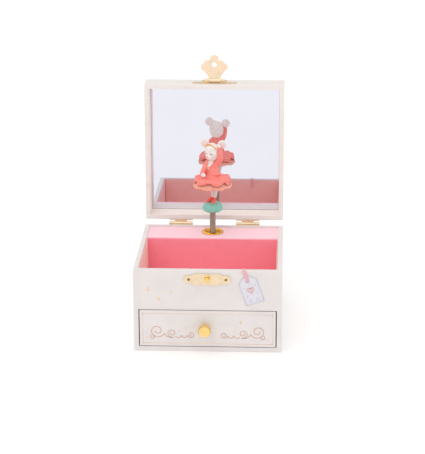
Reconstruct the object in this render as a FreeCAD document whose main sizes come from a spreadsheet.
import FreeCAD, Part
import math
import os
import re
import Sketcher

# Jewellery box with a turning dancer.  Millimetres, +Z up, +X to the right, the drawer faces -Y.
# The origin is the middle of the case's underside.  The lid stands open and leans back by lid_lean.

Vector = FreeCAD.Vector
Rotation = FreeCAD.Rotation

doc = FreeCAD.newDocument("JewelleryBox")
sheet = doc.addObject("Spreadsheet::Sheet", "Sizes")

SIZES = {
    # case
    "case_width": 120.0,
    "case_depth": 120.0,
    "case_height": 70.0,
    "wall": 4.0,
    "edge_round": 0.7,
    "opening_top": 36.0,
    "shelf_thick": 3.0,
    "bulkhead_front": 24.0,
    "bulkhead_thick": 3.0,
    "velvet": 1.0,
    "velvet_drop": 0.5,
    "card": 1.4,
    "stage_top": 69.0,
    "stage_round": 1.6,
    # lid, measured from the hinge pin while it is shut
    "parting": 0.4,
    "pin_behind": 3.3,
    "lid_height": 22.0,
    "panel_thick": 2.0,
    "mirror_thick": 1.2,
    "lid_travel": 91.0,
    # butt hinges
    "hinge_spread": 29.2,
    "hinge_length": 20.4,
    "knuckle_radius": 1.5,
    "hinge_pin_radius": 0.6,
    "hinge_bore": 0.65,
    "middle_knuckle": 10.6,
    "knuckle_gap": 0.2,
    "leaf_thick": 0.8,
    "leaf_reach": 12.0,
    "hinge_pin_proud": 0.3,
    # small fixings
    "pilot": 0.5,
    "screw_head": 1.15,
    "screw_head_high": 0.4,
    "screw_length": 3.2,
    "screw_spread": 7.0,
    "screw_drop": 7.0,
    # catch on the case and hasp on the lid
    "plate_thick": 0.8,
    "catch_middle": 62.3,
    "catch_half": 18.8,
    "catch_tab": 3.4,
    "catch_waist": 10.0,
    "catch_belly": 4.8,
    "catch_pin_at": 15.0,
    "knob_high": 63.0,
    "knob_stem": 0.8,
    "knob_foot": 2.7,
    "knob_foot_thick": 0.5,
    "knob_neck": 1.1,
    "knob_head": 1.95,
    "knob_reach": 4.1,
    "barrel_above_rim": 7.4,
    "barrel_off": 2.2,
    "barrel_radius": 1.5,
    "barrel_half": 9.15,
    "flap_knuckle_half": 5.0,
    "hasp_pin_radius": 0.5,
    "hasp_bore": 0.55,
    "hasp_plate_thick": 0.5,
    "hasp_plate_half": 19.0,
    "hasp_plate_arm": 3.1,
    "hasp_plate_belly": 4.6,
    "hasp_nail_at": 15.5,
    "flap_thick": 0.8,
    "flap_hole": 2.25,
    "flap_neck": 5.05,
    "flap_length": 23.9,
    "flap_lean": 13.5,
    "neck_high": 2.7,
    "taper_half": 5.9,
    "taper_high": 4.5,
    "flare_half": 10.6,
    "flare_high": 10.5,
    "flap_half": 11.5,
    "lobe_high": 13.0,
    "lobe_top_half": 9.8,
    "lobe_top": 15.6,
    "tier_half": 8.2,
    "tier_low": 16.5,
    "tier_round": 17.9,
    "tier_top_half": 7.1,
    "tier_top": 18.8,
    "top_lobe": 3.6,
    # drawer
    "front_thick": 3.4,
    "front_proud": 0.6,
    "front_gap": 0.8,
    "front_gap_high": 0.6,
    "drawer_side": 2.5,
    "drawer_height": 27.0,
    "drawer_back": 21.5,
    "drawer_floor": 2.0,
    "drawer_lift": 0.4,
    "drawer_pad": 0.8,
    "pull_shift": -2.0,
    "pull_height": 21.3,
    "pull_radius": 5.25,
    "pull_length": 11.2,
    "pull_foot": 3.3,
    "pull_foot_thick": 0.6,
    "pull_neck": 2.6,
    "pull_back": 3.9,
    "pull_back_at": 2.4,
    "pull_swell": 5.1,
    "pull_swell_at": 6.0,
    "pull_wide_at": 8.6,
    "pull_face": 4.3,
    "pull_screw": 1.0,
    "pull_screw_head": 2.4,
    # ribbon and tag
    "ribbon_at": 29.1,
    "ribbon_half": 1.4,
    "ribbon_thick": 0.3,
    "ribbon_out": 1.0,
    "ribbon_drop": 8.4,
    "tag_at": 32.2,
    "tag_hole_high": 61.6,
    "tag_half": 7.65,
    "tag_length": 23.6,
    "tag_top": 3.4,
    "tag_chamfer": 4.0,
    "tag_thick": 0.5,
    "tag_gap": 0.1,
    "tag_hole": 1.25,
    "tag_loop": 0.95,
    "tag_tilt": 19.3,
    # dancer's axis and the music movement
    "axis_across": -0.5,
    "axis_back": 43.0,
    "train_height": 20.0,
    "shaft_radius": 1.2,
    "shaft_bore": 1.25,
    "bedplate_thick": 2.0,
    "bedplate_front": 28.5,
    "bedplate_back": 55.0,
    "bevel_module": 0.8,
    "bevel_teeth": 24,
    "bevel_pinion_teeth": 12,
    "bevel_inner": 0.7,
    "wheel_module": 0.6,
    "wheel_teeth": 36,
    "wheel_pinion_teeth": 12,
    "fan_module": 0.5,
    "fan_wheel_teeth": 40,
    "fan_pinion_teeth": 10,
    "gear_thick": 2.0,
    "post_near": 14.5,
    "post_far": 46.5,
    "post_thick": 3.0,
    "post_half": 5.0,
    "post_top": 52.0,
    "bridge_low": 34.0,
    "bridge_thick": 2.5,
    "barrel_start": 19.0,
    "barrel_length": 21.5,
    "barrel_drum": 6.0,
    "barrel_pin": 0.35,
    "barrel_pin_high": 0.6,
    "tracks": 16,
    "pins_each": 3,
    "comb_gap": 0.15,
    "comb_thick": 1.2,
    "comb_tooth_gap": 0.35,
    "comb_tooth_long": 5.5,
    "housing_radius": 11.0,
    "housing_front": 50.5,
    "housing_back": 55.5,
    "key_bore_wall": 2.4,
    "key_reach": 8.5,
    "key_hub": 2.6,
    "key_wing": 4.6,
    "key_wing_out": 5.2,
    "key_plate": 2.0,
    "fan_half": 7.5,
    "fan_start": 22.0,
    "fan_length": 12.0,
    # ferrule, spring and dancer; heights of the dancer are above the underside of her cushion
    "ferrule_outer": 9.25,
    "ferrule_inner": 6.4,
    "ferrule_tube": 7.4,
    "ferrule_high": 1.0,
    "bush_thick": 2.0,
    "spring_outer": 2.6,
    "spring_inner": 1.55,
    "lower_bend": 73.0,
    "upper_bend": 82.5,
    "lower_stop": 1.2,
    "upper_stop": 1.1,
    "fold_neck": 1.2,
    "fold_clear": 0.05,
    "figure_base": 85.9,
    "cushion_radius": 8.8,
    "cushion_high": 11.2,
    "socket_deep": 6.0,
    "leg_radius": 1.9,
    "leg_apart": 2.1,
    "petticoat_radius": 16.4,
    "petticoat_at": 26.4,
    "skirt_radius": 16.8,
    "skirt_low": 30.4,
    "skirt_high": 33.0,
    "waist_at": 39.0,
    "waist_radius": 4.6,
    "neck_at": 47.6,
    "head_at": 55.0,
    "head_radius": 6.4,
    "head_half_high": 7.3,
    "ear_radius": 3.6,
    "ear_spread": 7.3,
    "ear_at": 62.0,
    "ear_thick": 1.6,
    "arm_radius": 1.7,
    "raised_arm_lean": 12.0,
    "bent_arm_turn": 212.0,
}


def write_sizes():
    for row, (name, value) in enumerate(SIZES.items(), start=1):
        sheet.set("A%d" % row, name)
        sheet.set("B%d" % row, repr(value))
        sheet.setAlias("B%d" % row, name)
    doc.recompute()


def bound(expression):
    """The expression with each size written as a reference to the sheet."""
    def reference(word):
        return "Sizes." + word.group(0) if word.group(0) in SIZES else word.group(0)
    return re.sub(r"[a-z_]+", reference, expression)


def value(expression):
    return float(sheet.evalExpression(expression))


def bind(thing, prop, expression):
    thing.setExpression(prop, bound(expression))


def plus(*terms):
    return "+".join("(%s)" % term for term in terms)


def minus(first, second):
    return "(%s)-(%s)" % (first, second)


# ---------------------------------------------------------------- homes: where a piece is placed

STRAIGHT = Rotation()
Z_TO_BACK = Rotation(Vector(1, 0, 0), -90)
Z_TO_FRONT = Rotation(Vector(1, 0, 0), 90)
Z_TO_RIGHT = Rotation(Vector(0, 1, 0), 90)


def place(thing, at=("0", "0", "0"), turn=STRAIGHT):
    """Sets the turn and binds the position; the turn is kept when the position changes."""
    thing.Placement = FreeCAD.Placement(Vector(), turn)
    for axis, expression in zip("xyz", at):
        bind(thing, "Placement.Base." + axis, expression)
    return thing


PIN_Y = "case_depth/2+pin_behind"
PIN_Z = "case_height+parting/2"
LID_HOME = dict(at=("0", PIN_Y, PIN_Z), turn=Rotation(Vector(1, 0, 0), -SIZES["lid_travel"]))
BARREL_Y = "-pin_behind-case_depth-barrel_off"
BARREL_Z = "parting/2+barrel_above_rim"


# ---------------------------------------------------------------- primitives with bound sizes

def box(x_from, x_to, y_from, y_to, z_from, z_to):
    piece = doc.addObject("Part::Box", "Block")
    bind(piece, "Length", minus(x_to, x_from))
    bind(piece, "Width", minus(y_to, y_from))
    bind(piece, "Height", minus(z_to, z_from))
    return place(piece, (x_from, y_from, z_from))


def rod(radius, length, at, turn=STRAIGHT):
    piece = doc.addObject("Part::Cylinder", "Rod")
    bind(piece, "Radius", radius)
    bind(piece, "Height", length)
    return place(piece, at, turn)


def cone(low_radius, high_radius, height, at, turn=STRAIGHT):
    piece = doc.addObject("Part::Cone", "Cone")
    bind(piece, "Radius1", low_radius)
    bind(piece, "Radius2", high_radius)
    bind(piece, "Height", height)
    return place(piece, at, turn)


def ball(radius, at):
    piece = doc.addObject("Part::Sphere", "Ball")
    bind(piece, "Radius", radius)
    return place(piece, at)


def join(pieces, home=None):
    """One fused piece; solids that do not touch stay separate solids of the group."""
    group = doc.addObject("Part::MultiFuse", "Join")
    group.Shapes = pieces
    group.Refine = False
    place(group, **(home or {}))
    return group


def cut(base, tools, home=None):
    piece = doc.addObject("Part::Cut", "Cut")
    piece.Base = base
    piece.Tool = tools[0] if len(tools) == 1 else join(tools)
    place(piece, **(home or {}))
    return piece


# ---------------------------------------------------------------- bodies made from sketches

PLANES = {"XY": "XY_Plane", "XZ": "XZ_Plane", "YZ": "YZ_Plane"}


def new_body(home=None):
    body = doc.addObject("PartDesign::Body", "Body")
    place(body, **(home or {}))
    return body


def origin_feature(body, role):
    return [item for item in body.Origin.OriginFeatures if item.Role == role][0]


def new_sketch(body, plane, offset):
    sketch = body.newObject("Sketcher::SketchObject", "Sketch")
    sketch.AttachmentSupport = [(origin_feature(body, PLANES[plane]), "")]
    sketch.MapMode = "FlatFace"
    bind(sketch, "AttachmentOffset.Base.z", offset)
    return sketch


def fix_point(sketch, line, end, x, y):
    """Ties one point of a sketch to the sheet, measured from the sketch's origin."""
    for kind, expression in (("DistanceX", x), ("DistanceY", y)):
        rule = Sketcher.Constraint(kind, -1, 1, line, end, value(expression))
        index = sketch.addConstraint(rule)
        sketch.setExpression("Constraints[%d]" % index, bound(expression))


def draw_outline(sketch, points):
    """Closed outline.  A point is (x, y), or (x, y, via) where an arc passes via to the next point."""
    spots = [Vector(value(point[0]), value(point[1]), 0) for point in points]
    ends = []
    for index, point in enumerate(points):
        start = spots[index]
        finish = spots[(index + 1) % len(points)]
        if len(point) == 3:
            via = Vector(value(point[2][0]), value(point[2][1]), 0)
            line = sketch.addGeometry(Part.Arc(start, via, finish), False)
        else:
            line = sketch.addGeometry(Part.LineSegment(start, finish), False)
        forward = sketch.getPoint(line, 1).distanceToPoint(start) < 1e-6
        ends.append((line, 1 if forward else 2, 2 if forward else 1))
    for index, point in enumerate(points):
        line, first, last = ends[index]
        after, after_first, _ = ends[(index + 1) % len(points)]
        sketch.addConstraint(Sketcher.Constraint("Coincident", line, last, after, after_first))
        fix_point(sketch, line, first, point[0], point[1])


def draw_circle(sketch, x, y, radius):
    centre = Vector(value(x), value(y), 0)
    line = sketch.addGeometry(Part.Circle(centre, Vector(0, 0, 1), value(radius)), False)
    fix_point(sketch, line, 3, x, y)
    index = sketch.addConstraint(Sketcher.Constraint("Radius", line, value(radius)))
    sketch.setExpression("Constraints[%d]" % index, bound(radius))


def mirrored(right_half):
    """The whole outline of a symmetrical plate, from its right half listed from bottom to top."""
    outline = list(right_half)
    for index in reversed(range(len(right_half))):
        point = right_half[index]
        spot = ("-(%s)" % point[0], point[1])
        if index and len(right_half[index - 1]) == 3:
            via = right_half[index - 1][2]
            spot += (("-(%s)" % via[0], via[1]),)
        outline.append(spot)
    return outline


def rectangle(x_from, x_to, y_from, y_to):
    return [(x_from, y_from), (x_to, y_from), (x_to, y_to), (x_from, y_to)]


def pad(body, plane, outline, low, high, holes=()):
    """Material between low and high along the plane's own axis, with round holes through it."""
    sketch = new_sketch(body, plane, "-(%s)" % high if plane == "XZ" else low)
    draw_outline(sketch, outline)
    for hole in holes:
        draw_circle(sketch, *hole)
    feature = body.newObject("PartDesign::Pad", "Pad")
    feature.Profile = sketch
    bind(feature, "Length", minus(high, low))
    return feature


def disc(body, plane, circles, low, high):
    """Round material between low and high: the first circle outside, the others as holes."""
    sketch = new_sketch(body, plane, "-(%s)" % high if plane == "XZ" else low)
    for circle in circles:
        draw_circle(sketch, *circle)
    feature = body.newObject("PartDesign::Pad", "Pad")
    feature.Profile = sketch
    bind(feature, "Length", minus(high, low))
    return feature


def drill(body, plane, circles, low, high):
    """Round holes between low and high; the volume has to fall."""
    doc.recompute()
    before = body.Shape.Volume
    sketch = new_sketch(body, plane, "-(%s)" % low if plane == "XZ" else high)
    for circle in circles:
        draw_circle(sketch, *circle)
    feature = body.newObject("PartDesign::Pocket", "Pocket")
    feature.Profile = sketch
    bind(feature, "Length", minus(high, low))
    doc.recompute()
    if body.Shape.Volume > before - 1e-6:
        raise RuntimeError("a hole cuts nothing")
    return feature


def soften(body, feature, radius, wanted):
    """Rounds the edges that the test picks."""
    doc.recompute()
    names = []
    for index, edge in enumerate(feature.Shape.Edges, start=1):
        if wanted(edge):
            names.append("Edge%d" % index)
    if not names:
        raise RuntimeError("no edge to round")
    fillet = body.newObject("PartDesign::Fillet", "Fillet")
    fillet.Base = (feature, names)
    bind(fillet, "Radius", radius)
    return fillet


def lies_on(edge, **planes):
    """True for an edge that lies in each of the planes given, as x=60."""
    bounds = edge.BoundBox
    limits = {
        "x": (bounds.XMin, bounds.XMax),
        "y": (bounds.YMin, bounds.YMax),
        "z": (bounds.ZMin, bounds.ZMax),
    }
    for axis, level in planes.items():
        low, high = limits[axis]
        if abs(low - level) > 1e-5 or abs(high - level) > 1e-5:
            return False
    return True


def turned(profile, home=None):
    """A piece of revolution about its own Z, from an outline of (radius, height) points."""
    body = new_body(home)
    sketch = new_sketch(body, "XZ", "0")
    draw_outline(sketch, profile)
    feature = body.newObject("PartDesign::Revolution", "Revolution")
    feature.Profile = sketch
    feature.ReferenceAxis = (sketch, ["V_Axis"])
    feature.Angle = 360
    return body


def repeat_round(body, feature, count):
    pattern = body.newObject("PartDesign::PolarPattern", "Pattern")
    pattern.Originals = [feature]
    pattern.Axis = (origin_feature(body, "Z_Axis"), [""])
    pattern.Angle = 360
    bind(pattern, "Occurrences", count)
    body.Tip = pattern
    return pattern


# ---------------------------------------------------------------- the list of sub-parts

PARTS = []


def part(label, piece):
    """Names a finished sub-part and puts it on the list to write."""
    piece.Label = label
    PARTS.append(piece)


HALF_W = "case_width/2"
HALF_D = "case_depth/2"
INNER_W = "case_width/2-wall"
INNER_D = "case_depth/2-wall"
RISER = "bulkhead_front+bulkhead_thick"
HINGES = (("left", "-hinge_spread"), ("right", "hinge_spread"))


# ---------------------------------------------------------------- case

def make_case():
    half_w = value(HALF_W)
    half_d = value(HALF_D)
    top = value("case_height")

    bottom = new_body()
    slab = pad(bottom, "XY", rectangle("-" + HALF_W, HALF_W, "-" + HALF_D, HALF_D), "0", "wall")
    soften(bottom, slab, "edge_round",
           lambda edge: any(lies_on(edge, x=x, y=y) for x in (-half_w, half_w) for y in (-half_d, half_d)))
    part("bottom_panel", bottom)

    for side, outer, inner in (("left", "-" + HALF_W, "-(" + INNER_W + ")"), ("right", HALF_W, INNER_W)):
        wall = new_body()
        low, high = (outer, inner) if side == "left" else (inner, outer)
        slab = pad(wall, "YZ", rectangle("-" + HALF_D, HALF_D, "wall", "case_height"), low, high)
        outside = value(outer)
        soften(wall, slab, "edge_round", lambda edge: (
            lies_on(edge, x=outside, y=-half_d) or lies_on(edge, x=outside, y=half_d)
            or lies_on(edge, x=outside, z=top) or lies_on(edge, y=-half_d, z=top)
            or lies_on(edge, y=half_d, z=top)))
        part("side_wall_" + side, wall)

    rail = new_body()
    holes = [("catch_pin_at*%d" % side, "catch_middle", "pilot") for side in (-1, 1)]
    holes.append(("0", "knob_high", "knob_stem"))
    slab = pad(rail, "XZ", rectangle("-(" + INNER_W + ")", INNER_W, "opening_top", "case_height"),
               "-" + HALF_D, "-(" + INNER_D + ")", holes)
    soften(rail, slab, "edge_round", lambda edge: lies_on(edge, y=-half_d, z=top))
    part("front_rail", rail)

    back = new_body()
    holes = [("axis_across", "train_height", "key_bore_wall")]
    for _, middle in HINGES:
        for side in (-1, 1):
            holes.append((plus(middle, "screw_spread*%d" % side), "case_height-screw_drop", "pilot"))
    outline = rectangle("-(" + INNER_W + ")", INNER_W, "wall", "case_height")
    slab = pad(back, "XZ", outline, INNER_D, HALF_D, holes)
    soften(back, slab, "edge_round", lambda edge: lies_on(edge, y=half_d, z=top))
    part("back_wall", back)

    part("shelf", box("-(" + INNER_W + ")", INNER_W, "-(" + INNER_D + ")", RISER,
                      "opening_top", "opening_top+shelf_thick"))
    part("bulkhead", box("-(" + INNER_W + ")", INNER_W, "bulkhead_front", RISER, "wall", "opening_top"))

    # folded card that carries the stage: the riser and the deck in one piece
    deck_top = "stage_top-velvet"
    profile = [
        (RISER, "opening_top+shelf_thick"),
        (plus(RISER, "card"), "opening_top+shelf_thick"),
        (plus(RISER, "card"), deck_top + "-card"),
        (INNER_D, deck_top + "-card"),
        (INNER_D, deck_top),
        (RISER, deck_top),
    ]
    card = new_body()
    pad(card, "YZ", profile, "-(" + INNER_W + ")", INNER_W)
    drill(card, "XY", [("axis_across", "axis_back", "ferrule_tube")], deck_top + "-card", deck_top)
    part("stage_card", card)


def make_linings():
    floor_low = "opening_top+shelf_thick"
    floor_top = floor_low + "+velvet"
    rim = "case_height-velvet_drop"
    lining_w = INNER_W + "-velvet"
    face = "-(" + INNER_D + ")+velvet"
    riser_face = RISER + "-velvet"
    part("lining_floor", box("-(" + lining_w + ")", lining_w, face, riser_face, floor_low, floor_top))
    part("lining_front", box("-(" + lining_w + ")", lining_w, "-(" + INNER_D + ")", face, floor_low, rim))
    part("lining_left", box("-(" + INNER_W + ")", "-(" + lining_w + ")", "-(" + INNER_D + ")", riser_face,
                            floor_low, rim))
    part("lining_right", box(lining_w, INNER_W, "-(" + INNER_D + ")", riser_face, floor_low, rim))

    # velvet over the riser and the deck, rounded where it turns over the edge
    bend = "stage_round*(1-sqrt(0.5))"
    profile = [
        (riser_face, floor_low),
        (RISER, floor_low),
        (RISER, "stage_top-velvet"),
        (INNER_D, "stage_top-velvet"),
        (INNER_D, "stage_top"),
        (plus(riser_face, "stage_round"), "stage_top", (plus(riser_face, bend), "stage_top-" + bend)),
        (riser_face, "stage_top-stage_round"),
    ]
    cover = new_body()
    pad(cover, "YZ", profile, "-(" + INNER_W + ")", INNER_W)
    drill(cover, "XY", [("axis_across", "axis_back", "ferrule_tube")], "stage_top-velvet", "stage_top")
    part("lining_stage", cover)


def make_ferrule():
    stage = dict(at=("axis_across", "axis_back", "stage_top"))
    skirt = "-velvet-card"
    ring = [
        ("ferrule_inner", skirt),
        ("ferrule_tube", skirt),
        ("ferrule_tube", "0"),
        ("ferrule_outer-0.3", "0", ("ferrule_outer", "0.3")),
        ("ferrule_outer-0.7", "0.8"),
        ("ferrule_tube+0.2", "ferrule_high", ("ferrule_inner+0.4", "ferrule_high-0.15")),
        ("ferrule_inner", "ferrule_high-0.6"),
    ]
    part("ferrule", turned(ring, stage))
    bush = new_body(stage)
    disc(bush, "XY", [("0", "0", "ferrule_inner"), ("0", "0", "shaft_bore")], skirt, skirt + "+bush_thick")
    part("spindle_bush", bush)


# ---------------------------------------------------------------- hinges

def hinge_leaf(middle, sign, knuckles):
    """One leaf with its web and knuckles, around a pin on the X axis.  sign is -1 below, 1 above."""
    outward = "-pin_behind"
    plate_near, plate_far = "knuckle_radius*%d" % sign, "(leaf_reach+0.6)*%d" % sign
    web_inner, web_outer = "(knuckle_radius-leaf_thick)*%d" % sign, "knuckle_radius*%d" % sign
    levels = [(web_inner, plate_far), (web_inner, web_outer)]
    if sign < 0:
        levels = [(far, near) for near, far in levels]
    pieces = [box(plus(middle, "-hinge_length/2"), plus(middle, "hinge_length/2"),
                  outward, outward + "+leaf_thick", levels[0][0], levels[0][1])]
    for start, finish in knuckles:
        pieces.append(rod("knuckle_radius", minus(finish, start), (plus(middle, start), "0", "0"),
                          Z_TO_RIGHT))
        pieces.append(box(plus(middle, start), plus(middle, finish), outward + "+leaf_thick", "0",
                          levels[1][0], levels[1][1]))
    return pieces


def leaf_holes(middle, sign):
    level = "-case_height-parting/2+case_height-screw_drop" if sign < 0 else "screw_drop"
    return [rod("pilot", "leaf_thick", (plus(middle, "screw_spread*%d" % side), "-pin_behind", level),
                Z_TO_BACK)
            for side in (-1, 1)]


def screw(x, y, z):
    """A small round-headed screw that points to the front, its head on the plane at y."""
    shank = rod("pilot", "screw_length", (x, y, z), Z_TO_FRONT)
    head = rod("screw_head", "screw_head_high", (x, plus(y, "screw_head_high"), z), Z_TO_FRONT)
    return [shank, head]


def make_hinges():
    outer = "hinge_length/2"
    inner = "middle_knuckle/2+knuckle_gap"
    pin_home = dict(at=("0", PIN_Y, PIN_Z))
    case_leaves, lid_leaves, pins = [], [], []
    case_screws, lid_screws = [], []
    for _, middle in HINGES:
        bore = rod("hinge_pin_radius", "hinge_length+2", (plus(middle, "-hinge_length/2-1"), "0", "0"),
                   Z_TO_RIGHT)
        leaf = join(hinge_leaf(middle, -1, [("-(%s)" % outer, "-(%s)" % inner), (inner, outer)]))
        case_leaves.append(cut(leaf, [bore] + leaf_holes(middle, -1)))
        bore = rod("hinge_bore", "hinge_length+2", (plus(middle, "-hinge_length/2-1"), "0", "0"), Z_TO_RIGHT)
        leaf = join(hinge_leaf(middle, 1, [("-middle_knuckle/2", "middle_knuckle/2")]))
        lid_leaves.append(cut(leaf, [bore] + leaf_holes(middle, 1)))
        pins.append(rod("hinge_pin_radius", "hinge_length+hinge_pin_proud*2",
                        (plus(middle, "-hinge_length/2-hinge_pin_proud"), "0", "0"), Z_TO_RIGHT))
        for side in (-1, 1):
            x = plus(middle, "screw_spread*%d" % side)
            face = "-pin_behind+leaf_thick"
            case_screws += screw(x, face, "-screw_drop-parting/2")
            lid_screws += screw(x, face, "screw_drop")
    part("hinge_leaves_case", join(case_leaves, pin_home))
    part("hinge_leaves_lid", join(lid_leaves, LID_HOME))
    part("hinge_pins", join(pins, pin_home))
    part("hinge_screws_case", join(case_screws, pin_home))
    part("hinge_screws_lid", join(lid_screws, LID_HOME))


# ---------------------------------------------------------------- lid

def make_lid():
    front = "-pin_behind-case_depth"
    back = "-pin_behind"
    low = "parting/2"
    frame_top = "parting/2+lid_height-panel_thick"
    top = "parting/2+lid_height"
    half_w = value(HALF_W)
    y_front = value(front)
    y_back = value(back)
    z_low = value(low)
    z_top = value(top)

    frame = new_body(LID_HOME)
    slab = pad(frame, "XY", rectangle("-" + HALF_W, HALF_W, front, back), low, frame_top)
    window = new_sketch(frame, "XY", frame_top)
    draw_outline(window, rectangle("-(" + INNER_W + ")", INNER_W, plus(front, "wall"), minus(back, "wall")))
    pocket = frame.newObject("PartDesign::Pocket", "Window")
    pocket.Profile = window
    bind(pocket, "Length", minus(frame_top, low))
    holes = []
    for _, middle in HINGES:
        for side in (-1, 1):
            holes.append((plus(middle, "screw_spread*%d" % side), "screw_drop", "pilot"))
    drill(frame, "XZ", holes, minus(back, "screw_length-leaf_thick"), back)
    nails = [("hasp_nail_at*%d" % side, BARREL_Z, "pilot") for side in (-1, 1)]
    last = drill(frame, "XZ", nails, front, plus(front, "screw_length"))
    corners = [(x, y) for x in (-half_w, half_w) for y in (y_front, y_back)]
    soften(frame, last, "edge_round", lambda edge: (
        any(lies_on(edge, x=x, y=y) for x, y in corners)
        or lies_on(edge, x=-half_w, z=z_low) or lies_on(edge, x=half_w, z=z_low)
        or lies_on(edge, y=y_front, z=z_low) or lies_on(edge, y=y_back, z=z_low)))
    part("lid_frame", frame)

    panel = new_body(LID_HOME)
    slab = pad(panel, "XY", rectangle("-" + HALF_W, HALF_W, front, back), frame_top, top)
    soften(panel, slab, "edge_round", lambda edge: (
        any(lies_on(edge, x=x, y=y) for x, y in corners)
        or lies_on(edge, x=-half_w, z=z_top) or lies_on(edge, x=half_w, z=z_top)
        or lies_on(edge, y=y_front, z=z_top) or lies_on(edge, y=y_back, z=z_top)))
    part("lid_panel", panel)

    mirror = new_body(LID_HOME)
    pad(mirror, "XY", rectangle("-(" + INNER_W + ")", INNER_W, plus(front, "wall"), minus(back, "wall")),
        minus(frame_top, "mirror_thick"), frame_top)
    part("mirror", mirror)


# ---------------------------------------------------------------- catch and hasp

def plate_outline(half, tab, waist, belly, middle):
    """A narrow plate with a deeper middle and ogee shoulders, symmetrical both ways."""
    shoulder = waist + "+2.4"
    end = half + "-1.4"
    corners = [
        ("-(%s)" % half, "-(%s)/2" % tab),
        ("-(%s)" % end, "-(%s)" % tab),
        ("-(%s)" % shoulder, "-(%s)" % tab),
        ("-(%s)" % waist, "-(%s)" % belly),
        (waist, "-(%s)" % belly),
        (shoulder, "-(%s)" % tab),
        (end, "-(%s)" % tab),
        (half, "-(%s)/2" % tab),
    ]
    upper = [(x, z.replace("-", "", 1)) for x, z in reversed(corners)]
    return [(x, plus(middle, z)) for x, z in corners + upper]


def make_catch():
    face = "-" + HALF_D
    plate = new_body()
    holes = [("catch_pin_at*%d" % side, "catch_middle", "pilot") for side in (-1, 1)]
    holes.append(("0", "knob_high", "knob_stem"))
    pad(plate, "XZ", plate_outline("catch_half", "catch_tab", "catch_waist", "catch_belly", "catch_middle"),
        face + "-plate_thick", face, holes)
    part("catch_plate", plate)

    # turned knob: a stem in the wall, a foot on the plate and a round head
    knob = [
        ("0", "-wall"),
        ("knob_stem", "-wall"),
        ("knob_stem", "plate_thick"),
        ("knob_foot", "plate_thick"),
        ("knob_foot", "plate_thick+knob_foot_thick*0.5"),
        ("knob_foot-0.4", "plate_thick+knob_foot_thick"),
        ("knob_neck", "plate_thick+knob_foot_thick"),
        ("knob_neck", "plate_thick+knob_reach*0.38", ("knob_head", "plate_thick+knob_reach*0.7")),
        ("knob_head*0.3", "plate_thick+knob_reach"),
        ("0", "plate_thick+knob_reach"),
    ]
    part("catch_knob", turned(knob, dict(at=("0", face, "knob_high"), turn=Z_TO_FRONT)))

    pins = []
    for side in (-1, 1):
        x = "catch_pin_at*%d" % side
        pins.append(rod("pilot", "screw_length", (x, face + "+screw_length-plate_thick", "catch_middle"),
                        Z_TO_FRONT))
        pins.append(cone("screw_head", "screw_head*0.5", "screw_head_high",
                         (x, face + "-plate_thick", "catch_middle"), Z_TO_FRONT))
    part("catch_pins", join(pins))


def make_hasp():
    face = "-pin_behind-case_depth"
    plate = new_body(LID_HOME)
    nails = [("hasp_nail_at*%d" % side, BARREL_Z, "pilot") for side in (-1, 1)]
    outline = plate_outline("hasp_plate_half", "hasp_plate_arm", "catch_waist", "hasp_plate_belly", BARREL_Z)
    pad(plate, "XZ", outline, face + "-hasp_plate_thick", face, nails)
    for start, finish in (("-barrel_half", "-flap_knuckle_half-knuckle_gap"),
                          ("flap_knuckle_half+knuckle_gap", "barrel_half")):
        web = rectangle(BARREL_Y, face + "-hasp_plate_thick/2",
                        BARREL_Z + "-barrel_radius*0.7", BARREL_Z + "+barrel_radius*0.7")
        pad(plate, "YZ", web, start, finish)
        disc(plate, "YZ", [(BARREL_Y, BARREL_Z, "barrel_radius")], start, finish)
    drill(plate, "YZ", [(BARREL_Y, BARREL_Z, "hasp_pin_radius")], "-barrel_half", "barrel_half")
    part("hasp_plate", plate)

    # flap: at rest it stands up from the lid's front wall and leans forward; local +Z is its length
    barrel = LID_HOME["turn"].multVec(Vector(0, value(BARREL_Y), value(BARREL_Z)))
    upright = Rotation(Vector(1, 0, 0), value("lid_travel+flap_lean"))
    flap_home = dict(at=("0", PIN_Y + "+(%.6f)" % barrel.y, PIN_Z + "+(%.6f)" % barrel.z),
                     turn=LID_HOME["turn"].multiply(upright))
    half = "flap_thick/2"
    blade = new_body()
    right_half = [
        ("flap_neck", "0"),
        ("flap_neck", "neck_high", ("taper_half", "taper_high")),
        ("flare_half", "flare_high", ("flap_half", "lobe_high")),
        ("lobe_top_half", "lobe_top"),
        ("tier_half", "tier_low", ("tier_half-0.15", "tier_round")),
        ("tier_top_half", "tier_top"),
        ("top_lobe", "tier_top"),
        ("top_lobe", "flap_length-top_lobe", ("0", "flap_length")),
    ]
    pad(blade, "XZ", mirrored(right_half), "-" + half, half)
    barrel_tube = rod("barrel_radius", "flap_knuckle_half*2", ("-flap_knuckle_half", "0", "0"), Z_TO_RIGHT)
    holes = [
        rod("flap_hole", "flap_thick*2",
            ("0", "flap_thick", "barrel_above_rim+case_height+parting-knob_high"), Z_TO_FRONT),
        rod("hasp_bore", "flap_neck*2+1", ("-flap_neck-0.5", "0", "0"), Z_TO_RIGHT),
    ]
    part("hasp_flap", cut(join([blade, barrel_tube]), holes, flap_home))

    pins = [rod("hasp_pin_radius", "barrel_half*2+1", ("-barrel_half-0.5", BARREL_Y, BARREL_Z), Z_TO_RIGHT)]
    for end in (-1, 1):
        tip = "(barrel_half+hasp_pin_radius*1.7)*%d" % end
        pins.append(ball("hasp_pin_radius*1.7", (tip, BARREL_Y, BARREL_Z)))
    for side in (-1, 1):
        x = "hasp_nail_at*%d" % side
        pins.append(rod("pilot", "screw_length", (x, face + "+screw_length-hasp_plate_thick", BARREL_Z),
                        Z_TO_FRONT))
        pins.append(cone("screw_head*0.9", "screw_head*0.4", "screw_head_high",
                         (x, face + "-hasp_plate_thick", BARREL_Z), Z_TO_FRONT))
    part("hasp_pin_and_nails", join(pins, LID_HOME))


# ---------------------------------------------------------------- ribbon and tag

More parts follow.
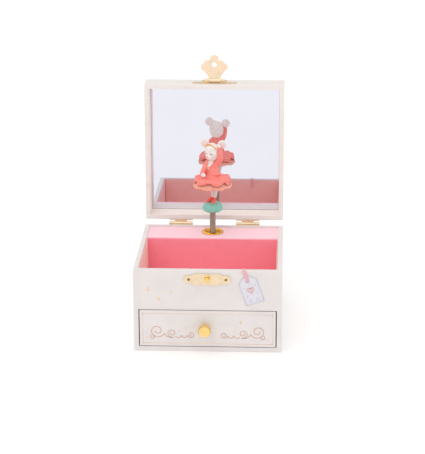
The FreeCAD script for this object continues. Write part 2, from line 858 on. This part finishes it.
def make_ribbon_and_tag():
    face = "-" + HALF_D
    inside = "-(" + INNER_D + ")+velvet"
    outer_face = face + "-ribbon_out"
    loop = [
        (inside, "case_height-ribbon_drop"),
        (inside + "+ribbon_thick", "case_height-ribbon_drop"),
        (inside + "+ribbon_thick", "case_height+ribbon_thick"),
        (outer_face, "case_height+ribbon_thick"),
        (outer_face, "case_height-ribbon_thick"),
        (outer_face + "+ribbon_thick", "case_height-ribbon_thick"),
        (outer_face + "+ribbon_thick", "case_height"),
        (inside, "case_height"),
    ]
    strap = new_body()
    pad(strap, "YZ", loop, "ribbon_at-ribbon_half", "ribbon_at+ribbon_half")
    hanging = new_body()
    run = [
        ("ribbon_at-ribbon_half", "case_height"),
        ("tag_at-ribbon_half", "tag_hole_high-1"),
        ("tag_at+ribbon_half", "tag_hole_high-1"),
        ("ribbon_at+ribbon_half", "case_height"),
    ]
    pad(hanging, "XZ", run, outer_face, outer_face + "+ribbon_thick")
    through = rod("tag_loop", "ribbon_out-ribbon_thick*0.5",
                  ("tag_at", face, "tag_hole_high"), Z_TO_FRONT)
    part("ribbon", join([strap, hanging, through]))

    tag = new_body(dict(at=("tag_at", face + "-tag_gap", "tag_hole_high"),
                        turn=Rotation(Vector(0, 1, 0), -SIZES["tag_tilt"])))
    bottom = "tag_top-tag_length"
    outline = [
        ("-tag_half", bottom),
        ("tag_half", bottom),
        ("tag_half", "tag_top-tag_chamfer"),
        ("tag_half-tag_chamfer", "tag_top"),
        ("-tag_half+tag_chamfer", "tag_top"),
        ("-tag_half", "tag_top-tag_chamfer"),
    ]
    pad(tag, "XZ", outline, "-tag_thick", "0", [("0", "0", "tag_hole")])
    part("tag", tag)


# ---------------------------------------------------------------- drawer

def make_drawer():
    side_outer = INNER_W + "-front_gap"
    side_inner = INNER_W + "-front_gap-drawer_side"
    front_face = "-" + HALF_D + "-front_proud"
    front_back = front_face + "+front_thick"
    side_low = "wall+drawer_lift"
    side_top = "wall+drawer_lift+drawer_height"
    front = new_body()
    slab = pad(front, "XZ", rectangle("-(" + side_outer + ")", side_outer, "wall+front_gap_high",
                                      "opening_top-front_gap_high"),
               front_face, front_back, [("pull_shift", "pull_height", "pull_screw")])
    y_face = value(front_face)
    soften(front, slab, "edge_round", lambda edge: lies_on(edge, y=y_face) and len(edge.Vertexes) == 2)
    part("drawer_front", front)
    part("drawer_side_left", box("-(" + side_outer + ")", "-(" + side_inner + ")", front_back, "drawer_back",
                                 side_low, side_top))
    part("drawer_side_right", box(side_inner, side_outer, front_back, "drawer_back", side_low, side_top))
    part("drawer_back", box("-(" + side_inner + ")", side_inner, "drawer_back-drawer_side", "drawer_back",
                            side_low, side_top))
    part("drawer_bottom", box("-(" + side_inner + ")", side_inner, front_back, "drawer_back-drawer_side",
                              side_low, side_low + "+drawer_floor"))
    pad_low = side_low + "+drawer_floor"
    part("drawer_lining", box("-(" + side_inner + ")", side_inner, front_back, "drawer_back-drawer_side",
                              pad_low, pad_low + "+drawer_pad"))
    pull = [
        ("pull_screw", "0"),
        ("pull_foot", "0"),
        ("pull_foot", "pull_foot_thick"),
        ("pull_neck", "pull_foot_thick*2"),
        ("pull_neck", "pull_back_at-0.4"),
        ("pull_back", "pull_back_at"),
        ("pull_swell", "pull_swell_at"),
        ("pull_radius", "pull_wide_at"),
        ("pull_face", "pull_length"),
        ("0", "pull_length"),
        ("0", "pull_length-4"),
        ("pull_screw", "pull_length-4"),
    ]
    spot = ("pull_shift", front_face, "pull_height")
    part("drawer_knob", turned(pull, dict(at=spot, turn=Z_TO_FRONT)))
    start = front_back + "+0.8"
    part("drawer_knob_screw", join([
        rod("pull_screw", "front_thick+0.8+6", ("pull_shift", start, "pull_height"), Z_TO_FRONT),
        rod("pull_screw_head", "0.8", ("pull_shift", start, "pull_height"), Z_TO_FRONT),
    ]))


# ---------------------------------------------------------------- gears

def toothed(body, module, teeth, low, high, inner_scale=None, bore=None, phase=0.0):
    """Teeth between two planes on the body's Z axis; with inner_scale they taper as a bevel gear does."""
    count = value(teeth)
    size = value(module)
    pitch_radius = count * size / 2
    half_at_root = math.pi * size * 0.20
    half_at_tip = math.pi * size * 0.09
    tip = pitch_radius + 0.6 * size
    root = pitch_radius - 1.15 * size
    if inner_scale is None:
        levels = [(low, 1.0), (high, 1.0)]
    else:
        levels = [(low, value(inner_scale)), (high, 1.0)]

    def tooth_points(scale):
        corners = [(root - 0.25 * size, -half_at_root), (tip, -half_at_tip), (tip, half_at_tip),
                   (root - 0.25 * size, half_at_root)]
        turn = math.radians(phase)
        return [("%.6f" % (scale * (along * math.cos(turn) - across * math.sin(turn))),
                 "%.6f" % (scale * (along * math.sin(turn) + across * math.cos(turn))))
                for along, across in corners]

    profile_low, profile_high = "%.6f" % (root * levels[0][1]), "%.6f" % (root * levels[1][1])
    inside = bore if bore else "0"
    blank_sketch = new_sketch(body, "XZ", "0")
    draw_outline(blank_sketch, [(inside, low), (profile_low, low), (profile_high, high), (inside, high)])
    blank = body.newObject("PartDesign::Revolution", "Blank")
    blank.Profile = blank_sketch
    blank.ReferenceAxis = (blank_sketch, ["V_Axis"])
    blank.Angle = 360
    lower = new_sketch(body, "XY", levels[0][0])
    draw_outline(lower, tooth_points(levels[0][1]))
    if inner_scale is None:
        tooth = body.newObject("PartDesign::Pad", "Tooth")
        tooth.Profile = lower
        bind(tooth, "Length", minus(high, low))
    else:
        upper = new_sketch(body, "XY", levels[1][0])
        draw_outline(upper, tooth_points(levels[1][1]))
        tooth = body.newObject("PartDesign::AdditiveLoft", "Tooth")
        tooth.Profile = lower
        tooth.Sections = [upper]
        tooth.Ruled = True
    repeat_round(body, tooth, teeth)


# the bevel gears share one apex, where the arbor, the cylinder's shaft and the spindle cross
BEVEL_RADIUS = "bevel_module*bevel_teeth/2"
PINION_RADIUS = "bevel_module*bevel_pinion_teeth/2"
APEX = ("axis_across", "axis_back", "train_height")


def shaft_piece(start, finish, collars=()):
    """A plain shaft on its own Z with collars (radius, from, to)."""
    pieces = [rod("shaft_radius", minus(finish, start), ("0", "0", start))]
    for radius, low, high in collars:
        pieces.append(rod(radius, minus(high, low), ("0", "0", low)))
    return pieces


def bevel_body(teeth, far, phase):
    """A bevel gear whose teeth taper towards the apex; phase turns it so that the teeth mesh."""
    body = new_body()
    toothed(body, "bevel_module", teeth, "(%s)*bevel_inner" % far, far, "bevel_inner", None, phase)
    return body


def make_movement():
    bed_low = "wall"
    bed_top = "wall+bedplate_thick"
    far_x = "axis_across+post_far+post_thick"
    bed_left = "axis_across-housing_radius-3"
    bed_right = far_x + "+1.2"
    bed = new_body()
    screws_at = [("axis_across-9", "33"), ("axis_across+post_far-6", "33"), ("axis_across+11.5", "52.5")]
    pad(bed, "XY", rectangle(bed_left, bed_right, "bedplate_front", "bedplate_back"), bed_low, bed_top,
        [(x, y, "pilot*1.6") for x, y in screws_at])

    # bearing posts, with the bridge that steadies the spindle
    level_one = "train_height"
    level_two = "train_height+wheel_module*(wheel_teeth+wheel_pinion_teeth)/2"
    level_three = level_two + "+fan_module*(fan_wheel_teeth+fan_pinion_teeth)/2"
    posts = []
    for start in ("post_near", "post_far"):
        post = box("axis_across+" + start, "axis_across+" + start + "+post_thick", "axis_back-post_half",
                   "axis_back+post_half", bed_top, "post_top")
        bores = [rod("shaft_bore", "post_thick", ("axis_across+" + start, "axis_back", level), Z_TO_RIGHT)
                 for level in (level_one, level_two, level_three)]
        posts.append(cut(post, bores))
    bridge = box("axis_across-4", "axis_across+post_near", "axis_back-4", "axis_back+4",
                 "bridge_low", "bridge_low+bridge_thick")
    posts.append(cut(bridge, [rod("shaft_bore", "bridge_thick", ("axis_across", "axis_back", "bridge_low"))]))
    part("bearing_posts", join(posts))

    # mainspring housing: a drum on a foot, the arbor runs through it
    drum = rod("housing_radius", "housing_back-housing_front", ("axis_across", "housing_front", "train_height"),
               Z_TO_BACK)
    foot = box("axis_across-6", "axis_across+6", "housing_front", "housing_back-0.5", bed_top,
               "train_height-housing_radius*0.6")
    bore = rod("shaft_bore", "housing_back-housing_front", ("axis_across", "housing_front", "train_height"),
               Z_TO_BACK)
    part("mainspring_housing", cut(join([drum, foot]), [bore]))

    # arbor with its bevel gear, square to the back wall, local +Z points to the back
    arbor_home = dict(at=APEX, turn=Z_TO_BACK)
    gear = bevel_body("bevel_teeth", PINION_RADIUS, 0.0)
    key_end = HALF_D + "-axis_back+key_reach"
    pieces = [gear] + shaft_piece("(%s)*bevel_inner" % PINION_RADIUS, key_end,
                                  [("shaft_radius*2.4", PINION_RADIUS, "housing_front-axis_back-0.3")])
    part("winding_arbor", join(pieces, arbor_home))

    # wing key on the arbor's end, outside the back wall
    key_near = HALF_D + "-axis_back+1.2"
    hub = rod("key_hub", minus(key_end, key_near), ("0", "0", key_near))
    key_pieces = [hub]
    for side in (-1, 1):
        middle = ("key_wing_out*%d" % side, "-key_plate/2", key_end + "-0.5")
        wing = rod("key_wing", "key_plate", middle, Z_TO_BACK)
        eye = rod("key_wing*0.5", "key_plate", middle, Z_TO_BACK)
        key_pieces.append(cut(wing, [eye]))
    socket = rod("shaft_radius", minus(key_end, key_near), ("0", "0", key_near))
    body_of_key = cut(join(key_pieces), [socket], arbor_home)
    part("winding_key", body_of_key)

    # spindle: pinion, hub and shaft up through the ferrule
    spindle_home = dict(at=APEX)
    pinion = bevel_body("bevel_pinion_teeth", BEVEL_RADIUS, 180.0 / SIZES["bevel_pinion_teeth"])
    pieces = [pinion] + shaft_piece("(%s)*bevel_inner-1" % BEVEL_RADIUS,
                                    "stage_top+0.8-train_height",
                                    [("shaft_radius*2.2", BEVEL_RADIUS, "bridge_low-train_height-0.3")])
    part("spindle", join(pieces, spindle_home))

    # music cylinder with its bevel pinion, local +Z points to the right
    across = dict(at=APEX, turn=Z_TO_RIGHT)
    pinion = bevel_body("bevel_pinion_teeth", BEVEL_RADIUS, 180.0 / SIZES["bevel_pinion_teeth"])
    drum_end = "barrel_start+barrel_length"
    pieces = [pinion] + shaft_piece("(%s)*bevel_inner-1" % BEVEL_RADIUS, "post_far+post_thick+0.6",
                                    [("shaft_radius*2.2", BEVEL_RADIUS, "post_near-0.3"),
                                     ("barrel_drum", "barrel_start", drum_end)])
    spacing = value("barrel_length") / value("tracks")
    golden = 360 * 0.381966
    for number in range(int(value("tracks") * value("pins_each"))):
        track = number % int(value("tracks"))
        along = value("barrel_start") + (track + 0.5) * spacing
        turn = Rotation(Vector(0, 0, 1), golden * number) * Rotation(Vector(0, 1, 0), 90)
        pieces.append(rod("barrel_pin", "barrel_drum+barrel_pin_high", ("0", "0", "%.4f" % along), turn))
    part("cylinder", join(pieces, across))

    wheel_low = drum_end + "+1.7"
    wheel = new_body(across)
    toothed(wheel, "wheel_module", "wheel_teeth", wheel_low, wheel_low + "+gear_thick", None, "shaft_radius")
    part("cylinder_wheel", wheel)

    # governor wheel: pinion on the cylinder wheel, large wheel outside the far post
    second = dict(at=("axis_across", "axis_back", level_two), turn=Z_TO_RIGHT)
    small = new_body()
    toothed(small, "wheel_module", "wheel_pinion_teeth", wheel_low, wheel_low + "+gear_thick",
            None, None, 180.0 / SIZES["wheel_pinion_teeth"])
    large = new_body()
    outside = "post_far+post_thick+0.6"
    toothed(large, "fan_module", "fan_wheel_teeth", outside, outside + "+gear_thick*0.7")
    pieces = [small, large] + shaft_piece("post_near+0.2", outside + "+gear_thick*0.7")
    part("governor_wheel", join(pieces, second))

    third = dict(at=("axis_across", "axis_back", level_three), turn=Z_TO_RIGHT)
    small = new_body()
    toothed(small, "fan_module", "fan_pinion_teeth", outside, outside + "+gear_thick*0.7", None, None, 18.0)
    blades = box("-fan_half", "fan_half", "-0.3", "0.3", "fan_start", "fan_start+fan_length")
    hub = rod("shaft_radius*1.6", "fan_length", ("0", "0", "fan_start"))
    pieces = [small, blades, hub] + shaft_piece("post_near+0.2", outside + "+gear_thick*0.7")
    part("fan", join(pieces, third))

    # comb: a steel plate on a block, its teeth end just short of the cylinder's pins
    block_back = "bedplate_front+4.5"
    comb_left = "axis_across+barrel_start"
    comb_right = comb_left + "+barrel_length"
    comb_low = "train_height-comb_thick/2"
    tip = "axis_back-barrel_drum-barrel_pin_high-comb_gap"
    comb = new_body()
    pad(comb, "XY", rectangle(comb_left, comb_right, "bedplate_front+0.3", tip),
        comb_low, comb_low + "+comb_thick")
    for number in range(1, int(value("tracks"))):
        middle = comb_left + "+barrel_length*%d/tracks" % number
        slot = new_sketch(comb, "XY", comb_low + "+comb_thick")
        draw_outline(slot, rectangle(middle + "-comb_tooth_gap/2", middle + "+comb_tooth_gap/2",
                                     tip + "-comb_tooth_long", tip + "+1"))
        cutter = comb.newObject("PartDesign::Pocket", "Slot")
        cutter.Profile = slot
        bind(cutter, "Length", "comb_thick")
    part("comb", comb)
    block = box(comb_left, comb_right, "bedplate_front+0.3", "bedplate_front+2", bed_top, comb_low)
    part("bedplate", join([bed, block]))

    screws = []
    for x, y in screws_at:
        screws.append(rod("pilot*1.6", "bedplate_thick", (x, y, bed_low)))
        screws.append(rod("pilot*3.4", "1.1", (x, y, bed_top)))
    part("movement_screws", join(screws))


# ---------------------------------------------------------------- spring and dancer

def make_spring():
    """The close-wound spring as three links: a stub, a middle that leans and a head that folds over it."""
    x, y = "axis_across", "axis_back"
    low = "stage_top-velvet-card+bush_thick"
    stub_top = "lower_bend-lower_stop"
    stub = rod("spring_outer", minus(stub_top, low), (x, y, low))
    hollow = rod("spring_inner", "2", (x, y, low))
    lower_cup = ball("spring_outer+fold_clear", (x, y, "lower_bend"))
    part("spring_lower", cut(stub, [hollow, lower_cup]))
    middle = rod("spring_outer", "upper_bend-upper_stop-lower_bend", (x, y, "lower_bend"))
    upper_cup = ball("spring_outer+fold_clear", (x, y, "upper_bend"))
    part("spring_middle", cut(join([middle, ball("spring_outer", (x, y, "lower_bend"))]), [upper_cup]))
    stem = rod("fold_neck", "figure_base+socket_deep-upper_bend-0.3", (x, y, "upper_bend"))
    part("spring_upper", join([ball("spring_outer", (x, y, "upper_bend")), stem]))


def make_figure():
    x, y = "axis_across", "axis_back"

    def up(level):
        return "figure_base+" + level

    # tufted cushion she stands on: straight sides, round shoulders, a socket for the spring's stem
    profile = [
        ("fold_neck+0.05", "0"),
        ("cushion_radius*0.55", "0", ("cushion_radius*0.88", "1.2")),
        ("cushion_radius", "3.6"),
        ("cushion_radius", "5.6", ("cushion_radius*0.82", "9.2")),
        ("cushion_radius*0.3", "cushion_high"),
        ("0", "cushion_high"),
        ("0", "socket_deep"),
        ("fold_neck+0.05", "socket_deep"),
    ]
    part("figure_cushion", turned(profile, dict(at=(x, y, "figure_base"))))

    legs = []
    for side in (-1, 1):
        spot = x + "+leg_apart*%d" % side
        legs.append(cone("leg_radius*0.7", "leg_radius*1.2", "petticoat_at-0.8-cushion_high",
                         (spot, y, up("cushion_high"))))
    part("figure_legs", join(legs))

    part("figure_petticoat", join([
        cone("petticoat_radius", "waist_radius", "2.2", (x, y, up("petticoat_at"))),
        rod("petticoat_radius", "0.8", (x, y, up("petticoat_at-0.8"))),
    ]))
    skirt_rise = "waist_at-skirt_high"
    part("figure_skirt", join([
        rod("skirt_radius", "skirt_high-skirt_low", (x, y, up("skirt_low"))),
        cone("skirt_radius", "waist_radius", skirt_rise, (x, y, up("skirt_high"))),
        rod("waist_radius", "skirt_low-petticoat_at-2.2", (x, y, up("petticoat_at+2.2"))),
    ]))

    torso = cone("waist_radius", "waist_radius*1.35", "neck_at-waist_at-1.6", (x, y, up("waist_at")))
    neck = cone("waist_radius*1.35", "waist_radius*0.5", "1.6", (x, y, up("neck_at-1.6")))
    raised = rod("arm_radius", "15", (x + "+5.4", y + "+3.4", up("44.4")),
                 Rotation(Vector(-0.9, 1, 0), value("raised_arm_lean")))
    bent = rod("arm_radius", "6.6", (x + "-5", y, up("45")),
               Rotation(Vector(0, 1, 0), value("bent_arm_turn")))
    part("figure_body", join([torso, neck, raised, bent]))

    slope = "head_radius*0.72"
    skull = [
        ("0", "-head_half_high"),
        ("head_radius*0.3", "-head_half_high", (slope, "-head_half_high*0.66")),
        ("head_radius", "0", (slope, "head_half_high*0.72")),
        ("head_radius*0.1", "head_half_high"),
        ("0", "head_half_high"),
    ]
    head = turned(skull)
    ears = []
    for side in (-1, 1):
        spot = ("ear_spread*%d" % side, "-ear_thick/2", "ear_at-head_at")
        ears.append(rod("ear_radius", "ear_thick", spot, Z_TO_BACK))
    part("figure_head", join([head] + ears, dict(at=(x, y, up("head_at")))))


# ---------------------------------------------------------------- build, test, write

def check_document():
    doc.recompute()
    for thing in doc.Objects:
        if "Invalid" in thing.State or "Error" in thing.State:
            raise RuntimeError("%s failed: %s" % (thing.Label, thing.State))
    labels = [piece.Label for piece in PARTS]
    if len(set(labels)) != len(labels):
        raise RuntimeError("two sub-parts share a label")
    for piece in PARTS:
        if piece.Shape.isNull() or not piece.Shape.isValid() or not piece.Shape.Solids:
            raise RuntimeError("%s has no sound shape" % piece.Label)


def write_parts():
    os.makedirs("parts", exist_ok=True)
    for piece in PARTS:
        piece.Shape.exportStep(os.path.join("parts", piece.Label + ".step"))


write_sizes()
make_case()
make_linings()
make_ferrule()
make_hinges()
make_lid()
make_catch()
make_hasp()
make_ribbon_and_tag()
make_drawer()
make_movement()
make_spring()
make_figure()
check_document()
write_parts()
print(len(PARTS), "sub-parts written")
